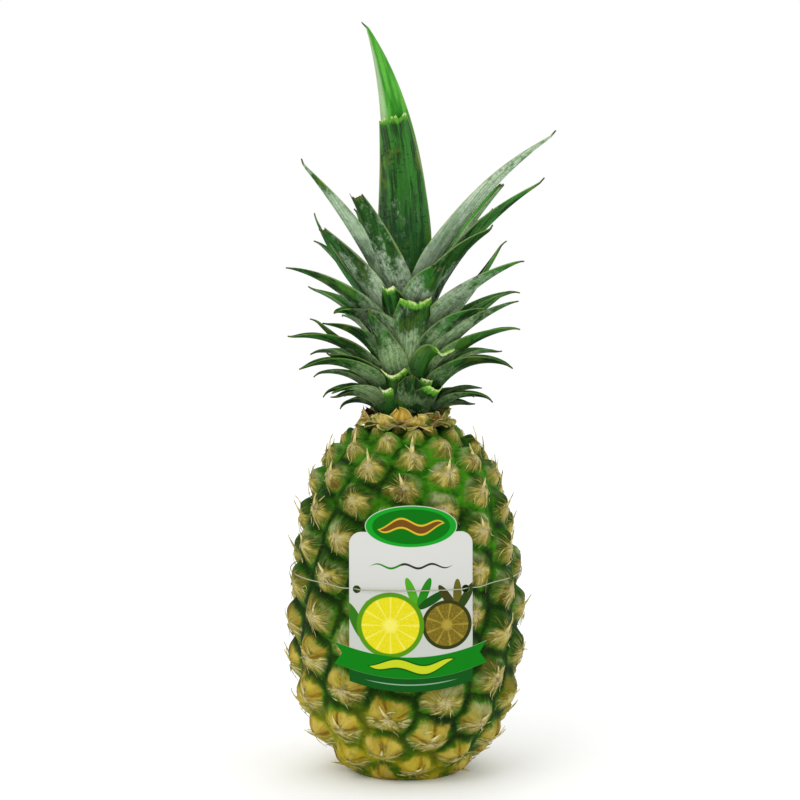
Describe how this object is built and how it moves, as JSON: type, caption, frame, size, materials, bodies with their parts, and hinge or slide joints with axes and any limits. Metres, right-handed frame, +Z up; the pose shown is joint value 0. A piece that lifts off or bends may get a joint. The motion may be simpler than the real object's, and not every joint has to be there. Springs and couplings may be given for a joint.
{
  "type": "pineapple",
  "caption": "Whole ripe pineapple with a leafy crown, standing on its base, with a blank die-cut card tag held against its front by a thin elastic loop.",
  "frame": {"origin": "centre of the small flat spot that the fruit stands on", "axes": "+Z up through the crown, -Y toward the side with the tag, +X to the right of someone facing the tag"},
  "size_m": [0.1356, 0.1249, 0.3729],
  "materials": {
    "fruit_skin": null,
    "crown_leaves": null,
    "dry_bracts": null,
    "printed_card": null,
    "elastic": "thin off-white elastic cord"
  },
  "bodies": {
    "root": {"fruit": "fruit_skin", "crown": "crown_leaves", "collar": "dry_bracts", "tag_card": "printed_card", "tag_elastic": "elastic"}
  },
  "joints": []
}
